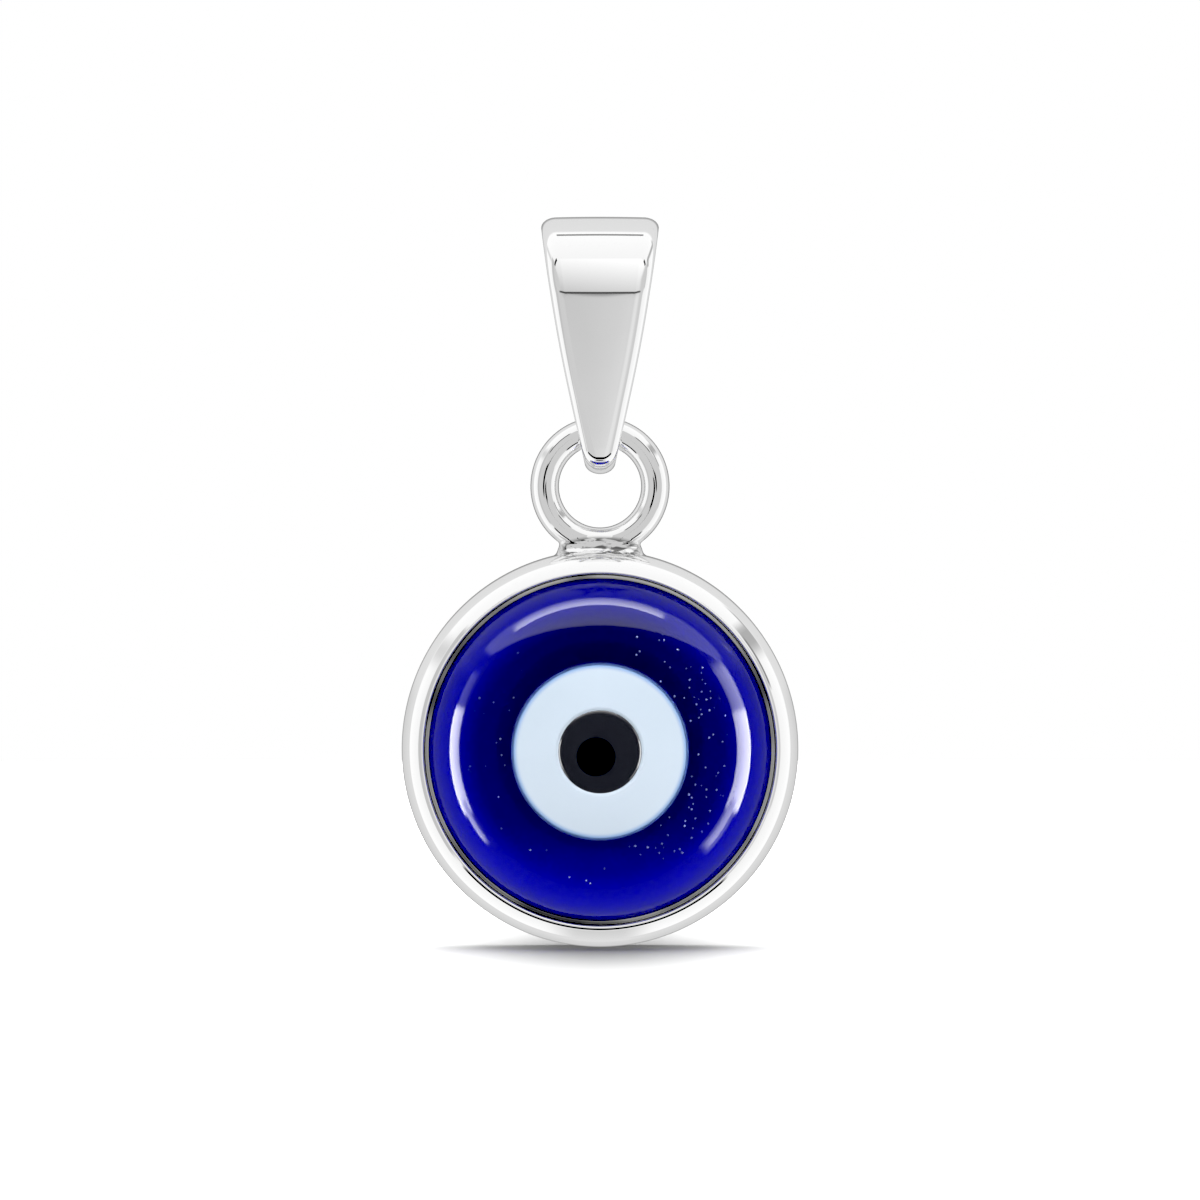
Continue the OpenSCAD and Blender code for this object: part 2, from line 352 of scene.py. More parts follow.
def seed_glass():
    """Seeds: grains and bubbles caught in the melt, tiny pale points that the blue over them tints."""
    made, tree, out = new_material("seeds_in_glass")
    pale = add(tree, "ShaderNodeBsdfPrincipled", {"Base Color": colour("#B4C2E6"), "Roughness": 0.5})
    tree.links.new(pale.outputs["BSDF"], out.inputs["Surface"])
    return made


# The bail

def arc_points(centre, radius, angles):
    """Points on a circle in the depth-height plane, at angles counted from +Y towards +Z."""
    turn = np.radians(angles)
    return np.column_stack([centre[0] + radius * np.cos(turn), centre[1] + radius * np.sin(turn)])


def bail_stations():
    """The outer and inner points of the sections round the bail: crown, leg, tip and the other leg."""
    crown_steps, leg_steps, tip_steps = 120, 30, 90
    crown_z = BAIL_TOP - CROWN_R
    pin_z = BAIL_TOP - BAIL_H + TIP_UNDER_WALL + CRADLE_R
    tip_r = CRADLE_R + TIP_SIDE_WALL
    tip_z = BAIL_TOP - BAIL_H + tip_r
    outer_lean = math.degrees(math.asin((CROWN_R - tip_r) / (crown_z - tip_z)))
    inner_lean = math.degrees(math.asin((CROWN_R - BAIL_WALL - CRADLE_R) / (crown_z - pin_z)))

    def end(outer_at, outer_r, inner_at, inner_r, first, wider, steps):
        t = np.linspace(0, 1, steps + 1)
        return (arc_points((0, outer_at), outer_r, first + 180 * t + wider * outer_lean * (2 * t - 1)),
                arc_points((0, inner_at), inner_r, first + 180 * t + wider * inner_lean * (2 * t - 1)))

    crown = end(crown_z, CROWN_R, crown_z, CROWN_R - BAIL_WALL, 0, 1, crown_steps)
    tip = end(tip_z, tip_r, pin_z, CRADLE_R, 180, -1, tip_steps)
    t = (np.arange(1, leg_steps) / leg_steps)[:, None]
    both = []
    for c, p in zip(crown, tip):
        both.append(np.vstack([c, c[-1] + (p[0] - c[-1]) * t, p, p[-1] + (c[0] - p[-1]) * t]))
    return both


def half_section(w, wall, inner_crown):
    """Half of the band's section, as distance from the middle and depth below the outer face."""
    round_w = min(BAND_ROUND_W, w)
    inner_w = min(BAND_INNER_ROUND_W, w / 3)
    face = np.linspace(0, w - round_w, 14)[:-1] if w > round_w else np.zeros(1)
    corner = np.radians(np.linspace(0, 90, 25))[int(w <= round_w):]
    # The inner corner starts a little late, because its first point would double the outer corner's last
    inner_corner = np.radians(np.linspace(4, 90, 9))
    inner_face = np.linspace(w - inner_w, 0, 12)[1:]
    outer_edge = OUTER_CROWN * ((w - round_w) / w) ** 2
    inner_edge = wall - inner_crown * ((w - inner_w) / w) ** 2
    round_t = min(BAND_ROUND_T, inner_edge - BAND_INNER_ROUND_T - outer_edge)
    across = np.concatenate([
        face, w - round_w * (1 - np.sin(corner)), w - inner_w * (1 - np.cos(inner_corner)), inner_face])
    depth = np.concatenate([
        OUTER_CROWN * (face / w) ** 2,
        outer_edge + round_t * (1 - np.cos(corner)),
        inner_edge - BAND_INNER_ROUND_T * (1 - np.sin(inner_corner)),
        wall - inner_crown * (inner_face / w) ** 2])
    return across, depth


def make_bail(silver):
    """The band, swept through its sections. Its inner face is more crowned towards the tip."""
    outer, inner = bail_stations()
    rings = []
    for a, b in zip(outer, inner):
        wall = np.linalg.norm(b - a)
        s = (BAIL_TOP - (a[1] + b[1]) / 2) / BAIL_H
        w = (CROWN_W + (TIP_W - CROWN_W) * s) / 2 + 4 * BOW * s * (1 - s)
        crowned = min(1, INNER_CROWN_RATE * s)
        inner_crown = CROWN_INNER_CROWN + (TIP_INNER_CROWN - CROWN_INNER_CROWN) * crowned
        across, depth = half_section(w, wall, inner_crown)
        across = np.concatenate([across, -across[-2:0:-1]])
        depth = np.concatenate([depth, depth[-2:0:-1]])
        in_plane = a + (b - a) / wall * depth[:, None]
        rings.append(np.column_stack([across, in_plane]))
    faces = loop_faces(len(rings), len(rings[0]))
    bail = mesh_piece("silver_bail", np.vstack(rings), faces, silver)
    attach(bail, "bail")
    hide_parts("bail")


# Turned pieces: an outline of radius and forward distance, swept round the eye's axis

def turned_arc(centre, radius, start, end, steps):
    """Outline points on an arc whose angles are counted from the eye's axis outward."""
    turn = np.radians(np.linspace(start, end, steps + 1))
    return np.column_stack([centre[0] + radius * np.sin(turn), centre[1] + radius * np.cos(turn)])


def straight(a, b, steps):
    """Outline points on a straight line, without its ends."""
    t = np.linspace(0, 1, steps + 1)[1:-1, None]
    return np.array(a) + (np.array(b) - np.array(a)) * t


def turning_tree():
    """A node tree that sweeps the object's outline round the eye's axis."""
    tree = bpy.data.node_groups.new("turned on the eye's axis", "GeometryNodeTree")
    for name, kind in (("Outline", "Geometry"), ("Steps Round", "Int"), ("Guide Radius", "Float"),
                       ("Axis Height", "Float"), ("Finish", "Material")):
        tree.interface.new_socket(name, in_out="INPUT", socket_type="NodeSocket" + kind)
    tree.interface.new_socket("Piece", in_out="OUTPUT", socket_type="NodeSocketGeometry")
    given = add(tree, "NodeGroupInput").outputs
    guide = add(tree, "GeometryNodeCurvePrimitiveCircle", {
        "Resolution": given["Steps Round"], "Radius": given["Guide Radius"]})
    upright = add(tree, "GeometryNodeSetCurveNormal", {"Curve": guide.outputs["Curve"]}, mode="Z_UP")
    back_to_axis = add(tree, "ShaderNodeMath", {0: given["Guide Radius"], 1: -1.0}, operation="MULTIPLY")
    shift = add(tree, "ShaderNodeCombineXYZ", {"X": back_to_axis.outputs[0]})
    outline = add(tree, "GeometryNodeMeshToCurve", {"Mesh": given["Outline"]})
    placed = add(tree, "GeometryNodeTransform", {
        "Geometry": outline.outputs["Curve"], "Translation": shift.outputs[0], "Scale": (1, -1, 1)})
    swept = add(tree, "GeometryNodeCurveToMesh", {
        "Curve": upright.outputs["Curve"], "Profile Curve": placed.outputs["Geometry"]})
    closed = add(tree, "GeometryNodeMergeByDistance", {
        "Geometry": swept.outputs["Mesh"], "Distance": 0.00005 * MM})
    outward = add(tree, "GeometryNodeFlipFaces", {"Mesh": closed.outputs["Geometry"]})
    height = add(tree, "ShaderNodeCombineXYZ", {"Z": given["Axis Height"]})
    faced = add(tree, "GeometryNodeTransform", {
        "Geometry": outward.outputs["Mesh"], "Translation": height.outputs[0],
        "Rotation": (math.radians(90), 0, 0)})
    smooth = add(tree, "GeometryNodeSetShadeSmooth", {"Geometry": faced.outputs["Geometry"]})
    real = add(tree, "GeometryNodeRealizeInstances", {"Geometry": smooth.outputs["Geometry"]})
    finished = add(tree, "GeometryNodeSetMaterial", {
        "Geometry": real.outputs["Geometry"], "Material": given["Finish"]})
    add(tree, "NodeGroupOutput", {"Piece": finished.outputs["Geometry"]})
    return tree


def through_nodes(name, start, tree, **inputs):
    """Runs a mesh through a node tree with named inputs and returns the result as a plain object."""
    holder = bpy.data.objects.new(name + " start", start)
    bpy.context.scene.collection.objects.link(holder)
    modifier = holder.modifiers.new("nodes", "NODES")
    modifier.node_group = tree
    for socket in tree.interface.items_tree:
        given = inputs.get(socket.name.lower().replace(" ", "_"))
        if given is not None:
            modifier[socket.identifier] = given
    evaluated = holder.evaluated_get(bpy.context.evaluated_depsgraph_get())
    mesh = bpy.data.meshes.new_from_object(evaluated)
    mesh.name = name
    bpy.data.objects.remove(holder)
    piece = bpy.data.objects.new(name, mesh)
    bpy.context.scene.collection.objects.link(piece)
    return piece


def turned_piece(name, outline, tree, finish):
    """A piece turned on the eye's axis from its outline."""
    points = np.column_stack([outline, np.zeros(len(outline))]) * MM
    start = bpy.data.meshes.new(name + " outline")
    start.from_pydata(points.tolist(), [(i, i + 1) for i in range(len(points) - 1)], [])
    return through_nodes(name, start, tree, steps_round=360, guide_radius=1 * MM,
                         axis_height=EYE_Z * MM, finish=finish)


def make_bezel(tree, silver, satin, dull):
    """The cup with its rounded rim, and inside it the bead of metal that was pressed down on to the glass.
    The cup under the glass has the satin finish, with painted shade and a painted pale edge, and the bead
    is painted grey for the shade it sits in."""
    shoulder_at = BEZEL_R - SHOULDER_R
    reach = BORE_R + LIP_R - shoulder_at
    rise = math.sqrt((SHOULDER_R - LIP_R) ** 2 - reach ** 2)
    lip_at = (BORE_R + LIP_R, RIM_FRONT - LIP_R)
    shoulder_front = lip_at[1] - rise
    lip_angle = math.degrees(math.atan2(reach, rise))
    back_dome_r = (BEZEL_R - BACK_EDGE_R) ** 2 / (2 * BACK_DOME)
    back_angle = math.degrees(math.asin((BEZEL_R - BACK_EDGE_R) / (back_dome_r - BACK_EDGE_R)))
    back_at = (BEZEL_R - BACK_EDGE_R, BACK_EDGE_R + BACK_DOME - BEZEL_BACK)
    bead_back, chamfer = 0.02, 0.02
    bead_at = (BORE_R - BEAD_R, GIRDLE_FRONT - bead_back)
    outline = np.vstack([
        turned_arc((0, back_dome_r - BEZEL_BACK), back_dome_r, 180, 180 - back_angle, 16),
        turned_arc(back_at, BACK_EDGE_R, 180 - back_angle, 90, 24)[1:],
        straight((BEZEL_R, back_at[1]), (BEZEL_R, shoulder_front), 8),
        turned_arc((shoulder_at, shoulder_front), SHOULDER_R, 90, lip_angle, 44),
        turned_arc(lip_at, LIP_R, lip_angle, -90, 24)[1:],
        turned_arc(bead_at, BEAD_R, 88, -118, 28),
        straight((BORE_R, bead_at[1] - BEAD_R), (BORE_R, SEAT_FRONT), 16),
        [(BORE_R, SEAT_FRONT + chamfer), (BORE_R - chamfer, SEAT_FRONT)],
        straight((BORE_R - chamfer, SEAT_FRONT), (0, SEAT_FRONT), 16),
        [(0, SEAT_FRONT)]])
    bezel = turned_piece("silver_bezel", outline, tree, silver)
    # The cup's floor: satin, with painted shade and a painted pale edge
    bezel.data.materials.append(satin)
    # The bead: painted grey for the shade between the rim and the glass
    bezel.data.materials.append(dull)
    centres = np.zeros(len(bezel.data.polygons) * 3)
    bezel.data.polygons.foreach_get("center", centres)
    x, y, z = centres.reshape(-1, 3).T / MM
    r = np.hypot(x, z - EYE_Z)
    in_cup = (r < BORE_R + 0.001) & (-y > SEAT_FRONT - 0.01)
    on_bead = in_cup & (-y > bead_at[1] - BEAD_R)
    bezel.data.polygons.foreach_set("material_index", in_cup + on_bead.astype(np.int32))
    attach(bezel, "drop")
    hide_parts("setting")


def dome_front(radius):
    """How far forward the dome's middle stands at a radius."""
    return DOME_TOP - DOME_R + np.sqrt(DOME_R ** 2 - np.asarray(radius, float) ** 2)


def dome_surface(radius):
    """How far forward the blue glass stands at a radius, over the dome and its shoulder."""
    shoulder_at = GLASS_R - DOME_SHOULDER_IN
    drop = math.sqrt(DOME_SHOULDER_R ** 2 - DOME_SHOULDER_IN ** 2)
    past = np.maximum(radius - shoulder_at, 0)
    shoulder = GIRDLE_FRONT - drop + np.sqrt(DOME_SHOULDER_R ** 2 - past ** 2)
    dome_ends = shoulder_at * DOME_R / (DOME_R - DOME_SHOULDER_R)
    return np.where(radius < dome_ends, dome_front(radius), shoulder)


def make_glass(tree, glass):
    """The blue dome. The pale disc sits in a recess whose wall is hidden in it, as they are fused."""
    recess_r = WHITE_R - 0.1
    recess_floor = WHITE_BACK + 0.08
    chamfer = 0.02
    shoulder_at = GLASS_R - DOME_SHOULDER_IN
    girdle_angle = math.degrees(math.asin(DOME_SHOULDER_IN / DOME_SHOULDER_R))
    shoulder_front = GIRDLE_FRONT - DOME_SHOULDER_R * math.cos(math.radians(girdle_angle))
    dome_angle = math.degrees(math.asin(shoulder_at / (DOME_R - DOME_SHOULDER_R)))
    recess_angle = math.degrees(math.asin(recess_r / DOME_R))
    round_back = GIRDLE_ROUND * 0.72
    round_at = (GLASS_R - GIRDLE_ROUND, GIRDLE_FRONT - round_back)
    back_r = 0.2
    outline = np.vstack([
        [(0, GLASS_BACK)],
        straight((0, GLASS_BACK), (GLASS_R - back_r, GLASS_BACK), 16),
        turned_arc((GLASS_R - back_r, GLASS_BACK + back_r), back_r, 180, 90, 12),
        straight((GLASS_R, GLASS_BACK + back_r), (GLASS_R, round_at[1]), 8),
        turned_arc(round_at, GIRDLE_ROUND, 90, girdle_angle, 6),
        turned_arc((shoulder_at, shoulder_front), DOME_SHOULDER_R, girdle_angle - 1, dome_angle, 60),
        turned_arc((0, DOME_TOP - DOME_R), DOME_R, dome_angle, recess_angle, 12)[1:],
        [(recess_r, recess_floor + chamfer), (recess_r - chamfer, recess_floor)],
        straight((recess_r - chamfer, recess_floor), (0, recess_floor), 6),
        [(0, recess_floor)]])
    dome = turned_piece("blue_glass_dome", outline, tree, glass)
    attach(dome, "drop")
    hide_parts("blue_glass")
    return dome


def make_disc(tree, opal):
    """The pale disc. Its front rim rolls down under the blue glass, which covers it there."""
    roll = 0.1
    back_r = 0.05
    rim_front = float(dome_front(WHITE_R - roll))
    rim_angle = math.degrees(math.asin((WHITE_R - roll) / DOME_R))
    hole_r = PUPIL_R - 0.02
    hole_angle = math.degrees(math.asin(hole_r / DOME_R))
    hole_floor = PUPIL_BACK + 0.03
    outline = np.vstack([
        [(0, WHITE_BACK), (WHITE_R - back_r, WHITE_BACK)],
        turned_arc((WHITE_R - back_r, WHITE_BACK + back_r), back_r, 180, 90, 6)[1:],
        straight((WHITE_R, WHITE_BACK + back_r), (WHITE_R, rim_front - roll), 4),
        turned_arc((WHITE_R - roll, rim_front - roll), roll, 90, 10, 12),
        turned_arc((0, DOME_TOP - DOME_R), DOME_R, rim_angle, hole_angle, 10),
        [(hole_r, hole_floor), (0, hole_floor)]])
    disc = turned_piece("pale_eye_disc", outline, tree, opal)
    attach(disc, "drop")
    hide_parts("eye_white")
    return disc


def make_pupil(tree, jet):
    """The pupil. Its front stands a hair proud of the disc, so that their faces never coincide."""
    proud = 0.002
    rim_front = float(dome_front(PUPIL_R))
    rim_angle = math.degrees(math.asin(PUPIL_R / DOME_R))
    outline = np.vstack([
        [(0, PUPIL_BACK), (PUPIL_R, PUPIL_BACK), (PUPIL_R, rim_front - 0.01)],
        turned_arc((0, DOME_TOP + proud - DOME_R), DOME_R, rim_angle, 0, 10)])
    pupil = turned_piece("black_pupil", outline, tree, jet)
    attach(pupil, "drop")
    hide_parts("eye_pupil")
    return pupil


def seed_tree():
    """A node tree that scatters tiny round seeds over a patch."""
    tree = bpy.data.node_groups.new("seeds in glass", "GeometryNodeTree")
    for name, kind in (("Patch", "Geometry"), ("Per Area", "Float"), ("Seed Radius", "Float"),
                       ("Pick", "Int"), ("Finish", "Material")):
        tree.interface.new_socket(name, in_out="INPUT", socket_type="NodeSocket" + kind)
    tree.interface.new_socket("Piece", in_out="OUTPUT", socket_type="NodeSocketGeometry")
    given = add(tree, "NodeGroupInput").outputs
    spread = add(tree, "GeometryNodeDistributePointsOnFaces", {
        "Mesh": given["Patch"], "Density": given["Per Area"], "Seed": given["Pick"]})
    grain = add(tree, "GeometryNodeMeshIcoSphere", {"Radius": given["Seed Radius"], "Subdivisions": 1})
    size = add(tree, "FunctionNodeRandomValue", {2: 0.35, 3: 1.0, "Seed": given["Pick"]}, data_type="FLOAT")
    sown = add(tree, "GeometryNodeInstanceOnPoints", {
        "Points": spread.outputs["Points"], "Instance": grain.outputs["Mesh"], "Scale": size.outputs[1]})
    real = add(tree, "GeometryNodeRealizeInstances", {"Geometry": sown.outputs["Instances"]})
    smooth = add(tree, "GeometryNodeSetShadeSmooth", {"Geometry": real.outputs["Geometry"]})
    finished = add(tree, "GeometryNodeSetMaterial", {
        "Geometry": smooth.outputs["Geometry"], "Material": given["Finish"]})
    add(tree, "NodeGroupOutput", {"Piece": finished.outputs["Geometry"]})
    return tree


def make_seeds(tree, finish):
    """The specks that float in the blue just under its dome, most of them on the right."""
    made = []
    steps, rows = 40, 7
    for name, near, far, (first, last), per_area, pick in SEED_PATCHES:
        clock = np.radians(np.linspace(first, last, steps + 1))[:, None]
        radius = np.linspace(near, far, rows)[None, :]
        front = dome_surface(radius) - SEED_DEPTH
        points = np.stack(np.broadcast_arrays(
            radius * np.sin(clock), -front, EYE_Z + radius * np.cos(clock)), -1).reshape(-1, 3)
        corners = [i * rows + k for i in range(steps) for k in range(rows - 1)]
        patch = bpy.data.meshes.new(name + " patch")
        patch.from_pydata((points * MM).tolist(), [], [(c, c + 1, c + rows + 1, c + rows) for c in corners])
        seeds = through_nodes(name, patch, tree, per_area=per_area / MM ** 2, seed_radius=SEED_R * MM,
                              pick=pick, finish=finish)
        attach(seeds, "drop")
        made.append(seeds)
    return made


# The ring and its collar, as one smooth skin

def blended(a, b, reach):
    """The union of two fields, rounded where they meet."""
    blend = np.maximum(reach - np.abs(a - b), 0) / reach
    return np.minimum(a, b) - blend ** 2 * reach / 4


def ring_field(p):
    """Below 0 inside the ring, its collar and the part of the setting that carries them."""
    x, y, z = p[..., 0], p[..., 1], p[..., 2]
    to_ring = np.hypot(np.hypot(x, z - RING_Z) - RING_TO_WIRE_R, y) - WIRE_R
    r, f = np.hypot(x, z - EYE_Z), -y
    shoulder_at = BEZEL_R - SHOULDER_R
    shoulder_front = RIM_FRONT - LIP_R - math.sqrt(
        (SHOULDER_R - LIP_R) ** 2 - (BORE_R + LIP_R - shoulder_at) ** 2)
    back_at = (BEZEL_R - BACK_EDGE_R, BACK_EDGE_R - BEZEL_BACK)
    front = np.hypot(np.maximum(r - shoulder_at, 0), f - shoulder_front) - SHOULDER_R
    back = np.hypot(np.maximum(r - back_at[0], 0), f - back_at[1]) - BACK_EDGE_R
    to_setting = np.where(f > shoulder_front, front, np.where(f < back_at[1], back, r - BEZEL_R)) + SUNK
    outside = np.abs(np.stack([x, y, z - SADDLE_Z], -1)) - np.array(SADDLE_HALF) + SADDLE_ROUND
    to_saddle = (np.linalg.norm(np.maximum(outside, 0), axis=-1) + np.minimum(outside.max(-1), 0)
                 - SADDLE_ROUND)
    rows = RIPPLE_DOWN * (z - SADDLE_Z) + RIPPLE_BEND * np.sin(RIPPLE_BEND_ACROSS * x)
    to_saddle = to_saddle + RIPPLE_HIGH * (np.sin(RIPPLE_ACROSS * x) * np.cos(rows))
    skin = blended(blended(to_ring, to_saddle, SADDLE_BLEND), to_setting, SETTING_BLEND)
    below = EYE_Z + BEZEL_R - SKIN_DOWN - z
    too_far = np.maximum(np.hypot(x, z - RING_Z) - RING_R - SKIN_OUT, np.abs(y) - SKIN_HALF_DEEP)
    return np.maximum(skin, np.maximum(below, too_far))


def slope(field, p, step=1e-4):
    """The gradient of a field at points, by central differences."""
    return np.stack([(field(p + d) - field(p - d)) / (2 * step) for d in np.eye(3) * step], -1)


def skin_of(field, low, high, step):
    """Points on a field's zero surface, one for each grid cell that it crosses, and their quads."""
    axes = [np.arange(a, b + step, step) for a, b in zip(low, high)]
    inside = field(np.stack(np.meshgrid(*axes, indexing="ij"), -1)) < 0
    corners = sum(inside[i:i - 1 or None, j:j - 1 or None, k:k - 1 or None].astype(int)
                  for i in (0, 1) for j in (0, 1) for k in (0, 1))
    crossed = (corners > 0) & (corners < 8)
    number = np.cumsum(crossed).reshape(crossed.shape) - 1
    cells = np.argwhere(crossed)
    points = np.array(low) + (cells + 0.5) * step
    for _ in range(8):
        gradient = slope(field, points)
        move = field(points)[:, None] * gradient / (gradient ** 2).sum(-1, keepdims=True)
        points = points - np.clip(move, -step, step)
    quads = []
    for axis in range(3):
        u, v = (axis + 1) % 3, (axis + 2) % 3
        first, second = np.moveaxis(inside, axis, 0)[:-1], np.moveaxis(inside, axis, 0)[1:]
        edges = np.argwhere(first != second)
        cell = np.insert(edges[:, 1:], 0, edges[:, 0], axis=1)
        place = np.empty_like(cell)
        place[:, axis] = cell[:, 0]
        others = [a for a in range(3) if a != axis]
        place[:, others[0]], place[:, others[1]] = cell[:, 1], cell[:, 2]
        limits = np.array(inside.shape)[others] - 1
        kept = (place[:, others] > 0).all(1) & (place[:, others] < limits).all(1)
        place = place[kept]
        outward = first[tuple(edges[kept].T)]
        around = []
        for du, dv in ((1, 1), (0, 1), (0, 0), (1, 0)):
            shifted = place.copy()
            shifted[:, u] -= du
            shifted[:, v] -= dv
            around.append(number[tuple(shifted.T)])
        quad = np.stack(around, -1)
        quads.append(np.where(outward[:, None], quad, quad[:, ::-1]))
    return points, np.vstack(quads).tolist()


def make_ring(silver):
    """The soldered ring, with the collar where it flares into the setting."""
    side, deep, above = 0.55, 1.2, 0.1
    low = (-RING_R - side, -deep, EYE_Z + BEZEL_R - side)
    high = (RING_R + side, deep, RING_Z + RING_R + above)
    points, faces = skin_of(ring_field, low, high, SKIN_STEP)
    ring = mesh_piece("silver_ring", points, faces, silver)
    normals = slope(ring_field, points)
    normals /= np.linalg.norm(normals, axis=1, keepdims=True)
    ring.data.normals_split_custom_set_from_vertices(normals.tolist())
    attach(ring, "drop")
    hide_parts("setting")
    return ring


# The studio: a white table, a light tent and lamps that only show in what the pendant mirrors

VIEW_DOWN = 1.2
CAMERA_AWAY = 300.0
FRAME_WIDE = 35.3
FRAME_MIDDLE_Z = -10.845
TENT_R = 1500.0
RING_TENT_R = 800.0
GLASS_LAMPS_R = 400.0

# What hangs in the tent, as angles off the camera's axis and clock angles, in degrees, from the front.
# Later rows lie over earlier ones, soft at their edges by the feather. A glow runs from inner to outer
# edge.
TENT_PANELS = (
    # name, off the axis, clock, feather, inner glow, outer glow
    ("back cloth", (98, 160), (-180, 180), 12, 0.82, 0.66),
    ("dark room behind the cloth", (152, 181), (-180, 180), 10, 0.52, 0.22),
    ("cloth behind the top", (97, 150), (-75, 75), 6, 0.84, 0.8),
    ("white walls", (49, 99), (-180, 180), 6, 0.98, 1.12),
    ("grey edge of the left wall", (46, 59), (232, 312), 3, 0.61, 0.61),
    ("grey edge of the right wall", (46, 54), (62, 112), 3, 0.66, 0.66),
    ("table under the pendant", (58, 112), (168, 192), 8, 0.7, 0.84),
    ("seam at half past one", (56, 98), (44, 60), 5, 0.5, 0.5),
    ("seam at half past ten", (60, 98), (-64, -56), 5, 0.75, 0.75),
    ("top softbox", (40, 92), (-50, 50), 3, 1.02, 1.1),
    ("mouth of the tent, low", (47, 56.5), (138, 227), 1.5, 0.0, 0.0),
    ("dark gap at half past ten", (39.5, 45), (303, 330), 1.5, 0.02, 0.02),
    ("dark gap at half past one", (39.5, 45), (36, 56), 1.5, 0.06, 0.06),
    ("dark gap at two", (55, 61), (54, 72), 2, 0.3, 0.3),
    ("gap behind the softbox", (89, 93), (-6, 6), 0.8, 0.3, 0.3),
)
TENT_BACK_GLOW = 0.5
# The rings of points on the tent and the lamps, closest together where most panels have their edges
OFF_STEPS = ((0, 38, 60), (38, 102, 150), (102, 180, 32))
CLOCK_STEPS = 240
# The cloth round the lens is grey. Straight above and below the lens it brightens with height, in
# degrees, and a dark table edge crosses it low down.
FRONT_OFF = 48.0
FRONT_GLOW = 0.68
SPILL_WIDE = 22.0
SPILL_WIDENS = 22.0
SPILL_FEATHER = 14.0
SPILL_HEIGHTS = (-25.2, 38.0)
SPILL_GLOWS = (0.67, 1.12)
TABLE_EDGE = (-23.3, -20.4)
TABLE_EDGE_GLOW = 0.1
TABLE_EDGE_WIDE = 26.0
TABLE_EDGE_FEATHERS = (0.8, 12.0)
TABLE_TOP = (-25.4, -24.4)
TABLE_TOP_GLOW = 0.1
SIDEWAYS_RISE = 0.0135
SIDEWAYS_RISE_ENDS = 6.0
# What the ring mirrors instead: the same tent with an even front, and the lens's two dark sides
RING_PANELS = (
    ("left side of the lens", (-2, 13.5), (257, 290), 2, 0.0, 0.0),
    ("right side of the lens", (-2, 12.5), (79, 98), 2, 0.0, 0.0),
    ("dark room behind the cloth", (138, 181), (-180, 180), 10, 0.45, 0.1),
)
# What the eye's glass mirrors and is lit by instead of the tent, in the same way
GLASS_PANELS = (
    ("front cloth", (-1, 60), (-180, 180), 10, 0.85, 0.85),
    ("wall", (60, 130), (-180, 180), 10, 1.0, 0.6),
    ("low wall", (62, 130), (120, 240), 10, 0.95, 0.65),
    ("top wall", (77, 180), (-60, 60), 6, 0.9, 0.9),
    ("left strip, faint", (69, 82), (-128, -60), 2, 1.6, 2.4),
    ("left strip", (67, 85), (-117, -75), 2.5, 9.0, 20.0),
    ("left strip's tail", (72, 80), (-130, -112), 3, 5.0, 10.0),
    ("right strip, faint", (61, 82), (56, 135), 2, 2.2, 2.8),
    ("right strip's head", (62, 85), (56, 84), 6, 3.5, 7.0),
    ("right strip", (60, 86), (76, 116), 2.5, 9.0, 20.0),
    ("right strip's tail", (65, 76), (112, 133), 3, 5.0, 9.0),
)
# The sheet over the top, whose lower edge bows up towards its ends by SHEET_BOW degrees
SHEET_PANELS = (
    ("top sheet", (39, 79), (-50, 54), 1.2, 2.5, 2.0),
)
SHEET_BOW = 34.0
SHEET_REACH = 50.0
SHEET_BOW_ENDS = 1.2
SHEET_EDGE_PANELS = (
    ("wall behind the sheet", (91, 112), (-60, 60), 2, 0.9, 0.9),
    ("edge of the top sheet", (75, 91), (-36, 26), 2, 11.0, 1.0),
)
GLASS_BACK_GLOW = 0.3
# The picture is printed with its black point a little above zero, as a product photograph is
BLACK_POINT = 0.04


def make_floor():
    """A matt white table top with a painted shadow: greyer under the pendant, out to where it can't be told
    from the backdrop.
    """
    made, tree, out = new_material("matt_white_table")
    place = add(tree, "ShaderNodeTexCoord").outputs["Object"]
    # Painted shadow: the colour is grey in an ellipse round the pendant and fades to white
    under = add(tree, "ShaderNodeMapping", {"Vector": place, "Scale": (2, 0.5, 0)}).outputs[0]
    away = add(tree, "ShaderNodeVectorMath", {0: under}, operation="LENGTH").outputs["Value"]
    shade_r = 14
    tone = fade(tree, away, 0, shade_r, "#969696", "#F4F4F4")
    white = add(tree, "ShaderNodeBsdfDiffuse", {"Color": tone})
    tree.links.new(white.outputs["BSDF"], out.inputs["Surface"])
    across = 150.0
    turn = np.radians(np.arange(0, 360, 5))
    points = np.column_stack([across * np.cos(turn), across * np.sin(turn), np.full(len(turn), FLOOR_Z)])
    floor = mesh_piece("table top", points, [list(range(len(turn)))], made)
    floor.visible_glossy = False
    floor.visible_transmission = False
    floor.visible_shadow = False


def lit_cloth(name, see_through):
    """Cloth over a lamp, or a lamp's bare glow: it gives off what its glow attribute says."""
    made, tree, out = new_material(name)
    glow = add(tree, "ShaderNodeAttribute", attribute_name="glow")
    lamp = add(tree, "ShaderNodeEmission", {"Color": colour("#FFFFFF"), "Strength": glow.outputs["Fac"]})
    if see_through:
        clear = add(tree, "ShaderNodeBsdfTransparent")
        lamp = add(tree, "ShaderNodeAddShader", {0: lamp.outputs[0], 1: clear.outputs[0]})
    tree.links.new(lamp.outputs[0], out.inputs["Surface"])
    return made


def soft_span(x, low, high, feather):
    """1 between two values and 0 outside them, with soft edges."""
    t = np.clip(np.minimum(x - low, high - x) / feather + 0.5, 0, 1)
    return t * t * (3 - 2 * t)


